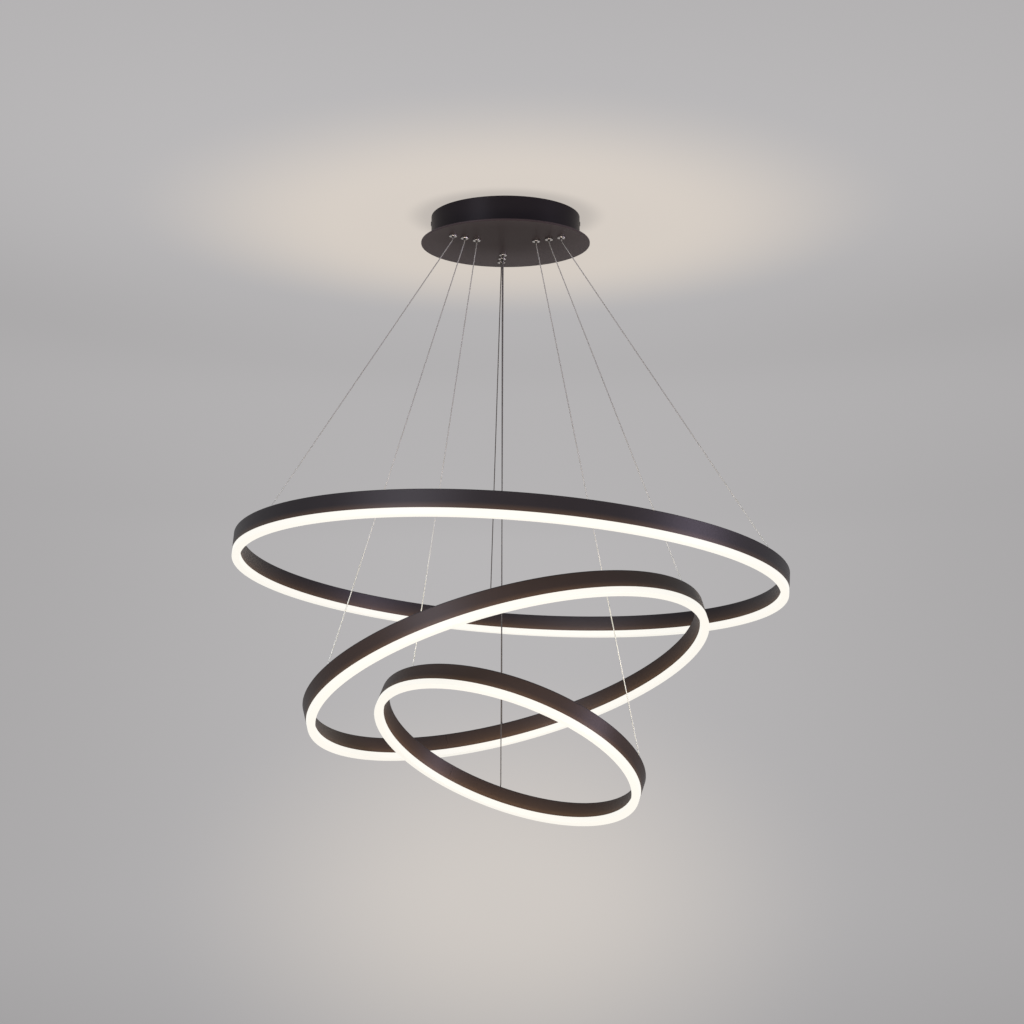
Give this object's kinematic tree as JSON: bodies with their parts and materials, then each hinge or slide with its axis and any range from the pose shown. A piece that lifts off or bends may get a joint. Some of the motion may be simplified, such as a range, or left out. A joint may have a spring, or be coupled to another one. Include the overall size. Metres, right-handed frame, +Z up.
{
  "type": "led ring chandelier",
  "caption": "Suspended ceiling light: lit rings of falling diameter, each tilted its own way, hang by fine wires and a power lead from a round canopy with wire grippers.",
  "frame": {"origin": "middle of the bracket's slotted fixing line, on the face that meets the ceiling", "axes": "+Z up into the ceiling, +X right along the bracket and +Y to the back, seen from the pictured front"},
  "size_m": [0.8, 0.7977, 0.8974],
  "materials": {
    "canopy_finish": "fine matt powder coat",
    "bracket_steel": "zinc plated sheet",
    "zinc_screws": "zinc plated",
    "black_screws": "black oxide",
    "nickel_fittings": "bright nickel plate",
    "spring_steel": "drawn spring wire",
    "driver_case": "moulded, fine grain",
    "block_plastic": "moulded, translucent white",
    "cable_sheath": "soft black sheath",
    "lead_sheath": "soft grey sheath",
    "wire_steel": "fine stranded steel",
    "ring_finish": "fine matt charcoal powder coat",
    "opal_diffuser": "opal, lit warm white",
    "led_board": "white solder mask",
    "plain_aluminium": "extruded, uncoated",
    "black_anchors": "black plated, turned",
    "anchor_steel": "zinc plated"
  },
  "bodies": {
    "canopy": {"ceiling_bracket": "bracket_steel", "canopy_drum": "canopy_finish", "canopy_plate": "canopy_finish", "side_screws": "black_screws", "plate_nuts": "zinc_screws", "driver_ring1": "driver_case", "driver_ring2": "driver_case", "driver_ring3": "driver_case", "driver_nuts": "zinc_screws", "terminal_block": "block_plastic", "terminal_screws": "zinc_screws", "earth_terminal": "zinc_screws", "mains_leads": "cable_sheath", "output_leads": "cable_sheath", "gripper_barrels": "nickel_fittings", "gripper_nuts": "nickel_fittings", "gripper_springs": "spring_steel", "ring1_wire_left": "wire_steel", "ring1_wire_right": "wire_steel", "ring1_power_lead": "lead_sheath", "ring2_wire_left": "wire_steel", "ring2_wire_right": "wire_steel", "ring2_power_lead": "lead_sheath", "ring3_wire_left": "wire_steel", "ring3_wire_right": "wire_steel", "ring3_power_lead": "lead_sheath"},
    "ring1": {"ring1_channel": "ring_finish", "ring1_diffuser": "opal_diffuser", "ring1_led_strip": "led_board", "ring1_joint_plate": "plain_aluminium", "ring1_joint_screws": "black_screws", "ring1_wire_anchors": "black_anchors", "ring1_anchor_nuts": "anchor_steel", "ring1_wire_ends": "anchor_steel"},
    "ring2": {"ring2_channel": "ring_finish", "ring2_diffuser": "opal_diffuser", "ring2_led_strip": "led_board", "ring2_joint_plate": "plain_aluminium", "ring2_joint_screws": "black_screws", "ring2_wire_anchors": "black_anchors", "ring2_anchor_nuts": "anchor_steel", "ring2_wire_ends": "anchor_steel"},
    "ring3": {"ring3_channel": "ring_finish", "ring3_diffuser": "opal_diffuser", "ring3_led_strip": "led_board", "ring3_joint_plate": "plain_aluminium", "ring3_joint_screws": "black_screws", "ring3_wire_anchors": "black_anchors", "ring3_anchor_nuts": "anchor_steel", "ring3_wire_ends": "anchor_steel"},
    "ring1_plunger_left": {"ring1_plunger_left": "nickel_fittings"},
    "ring1_plunger_right": {"ring1_plunger_right": "nickel_fittings"},
    "ring1_plunger_back": {"ring1_plunger_back": "nickel_fittings"},
    "ring2_plunger_left": {"ring2_plunger_left": "nickel_fittings"},
    "ring2_plunger_right": {"ring2_plunger_right": "nickel_fittings"},
    "ring2_plunger_back": {"ring2_plunger_back": "nickel_fittings"},
    "ring3_plunger_left": {"ring3_plunger_left": "nickel_fittings"},
    "ring3_plunger_right": {"ring3_plunger_right": "nickel_fittings"},
    "ring3_plunger_back": {"ring3_plunger_back": "nickel_fittings"}
  },
  "joints": [
    {"name": "ring1_lift", "type": "slide", "parent": "canopy", "child": "ring1", "axis": [0, 0, 1], "range_m": [0, 0.16], "deforming": ["ring1_wire_left", "ring1_wire_right", "ring1_power_lead"]},
    {"name": "ring2_lift", "type": "slide", "parent": "canopy", "child": "ring2", "axis": [0, 0, 1], "range_m": [0, 0.15], "deforming": ["ring2_wire_left", "ring2_wire_right", "ring2_power_lead"]},
    {"name": "ring3_lift", "type": "slide", "parent": "canopy", "child": "ring3", "axis": [0, 0, 1], "range_m": [0, 0.22], "deforming": ["ring3_wire_left", "ring3_wire_right", "ring3_power_lead"]},
    {"name": "ring1_release_left", "type": "slide", "parent": "canopy", "child": "ring1_plunger_left", "axis": [0, 0, 1], "range_m": [0, 0.002], "stiffness_N_per_m": 500, "springref_m": -0.002, "deforming": ["gripper_springs"]},
    {"name": "ring1_release_right", "type": "slide", "parent": "canopy", "child": "ring1_plunger_right", "axis": [0, 0, 1], "range_m": [0, 0.002], "stiffness_N_per_m": 500, "springref_m": -0.002, "deforming": ["gripper_springs"]},
    {"name": "ring1_release_back", "type": "slide", "parent": "canopy", "child": "ring1_plunger_back", "axis": [0, 0, 1], "range_m": [0, 0.002], "stiffness_N_per_m": 500, "springref_m": -0.002, "deforming": ["gripper_springs"]},
    {"name": "ring2_release_left", "type": "slide", "parent": "canopy", "child": "ring2_plunger_left", "axis": [0, 0, 1], "range_m": [0, 0.002], "stiffness_N_per_m": 500, "springref_m": -0.002, "deforming": ["gripper_springs"]},
    {"name": "ring2_release_right", "type": "slide", "parent": "canopy", "child": "ring2_plunger_right", "axis": [0, 0, 1], "range_m": [0, 0.002], "stiffness_N_per_m": 500, "springref_m": -0.002, "deforming": ["gripper_springs"]},
    {"name": "ring2_release_back", "type": "slide", "parent": "canopy", "child": "ring2_plunger_back", "axis": [0, 0, 1], "range_m": [0, 0.002], "stiffness_N_per_m": 500, "springref_m": -0.002, "deforming": ["gripper_springs"]},
    {"name": "ring3_release_left", "type": "slide", "parent": "canopy", "child": "ring3_plunger_left", "axis": [0, 0, 1], "range_m": [0, 0.002], "stiffness_N_per_m": 500, "springref_m": -0.002, "deforming": ["gripper_springs"]},
    {"name": "ring3_release_right", "type": "slide", "parent": "canopy", "child": "ring3_plunger_right", "axis": [0, 0, 1], "range_m": [0, 0.002], "stiffness_N_per_m": 500, "springref_m": -0.002, "deforming": ["gripper_springs"]},
    {"name": "ring3_release_back", "type": "slide", "parent": "canopy", "child": "ring3_plunger_back", "axis": [0, 0, 1], "range_m": [0, 0.002], "stiffness_N_per_m": 500, "springref_m": -0.002, "deforming": ["gripper_springs"]}
  ]
}
